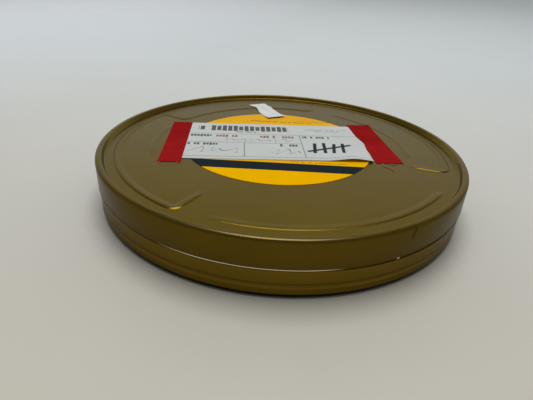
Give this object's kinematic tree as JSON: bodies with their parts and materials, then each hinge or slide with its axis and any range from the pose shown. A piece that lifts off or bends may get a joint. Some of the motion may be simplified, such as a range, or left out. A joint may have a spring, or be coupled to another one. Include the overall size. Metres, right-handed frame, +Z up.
{
  "type": "film can",
  "caption": "Round pressed-tin film can with a slip-on embossed lid, a round label and taped-on paper slip, holding a roll of film on a core in an opened black bag.",
  "frame": {"origin": "middle of the can's underside, on the surface that it stands on", "axes": "+Z up through the lid, -Y towards the reader of the label, +X to the reader's right"},
  "size_m": [0.172, 0.172, 0.0243],
  "materials": {
    "tin": "semi-gloss gold-olive lacquer on tinplate",
    "bag": "thin crinkled black polythene",
    "core": "moulded off-white plastic",
    "film": "edges of tightly wound film",
    "label": "coated yellow paper with a dark stripe",
    "slip": "plain white paper with ruled boxes",
    "red_tape": "red cloth tape",
    "paper_tape": "white paper tape"
  },
  "bodies": {
    "base": {"can_base": "tin"},
    "bag": {"light_bag": "bag"},
    "roll": {"film_roll": "film", "film_core": "core", "film_end_tape": "paper_tape"},
    "lid": {"lid": "tin", "round_label": "label", "report_slip": "slip", "tape_left": "red_tape", "tape_right": "red_tape", "white_tape": "paper_tape"}
  },
  "joints": [
    {"name": "bag_lift", "type": "slide", "parent": "base", "child": "bag", "axis": [0, 0, 1], "range_m": [0, 0.05]},
    {"name": "roll_lift", "type": "slide", "parent": "bag", "child": "roll", "axis": [0, 0, 1], "range_m": [0, 0.06]},
    {"name": "lid_lift", "type": "slide", "parent": "roll", "child": "lid", "axis": [0, 0, 1], "range_m": [0, 0.08]}
  ]
}
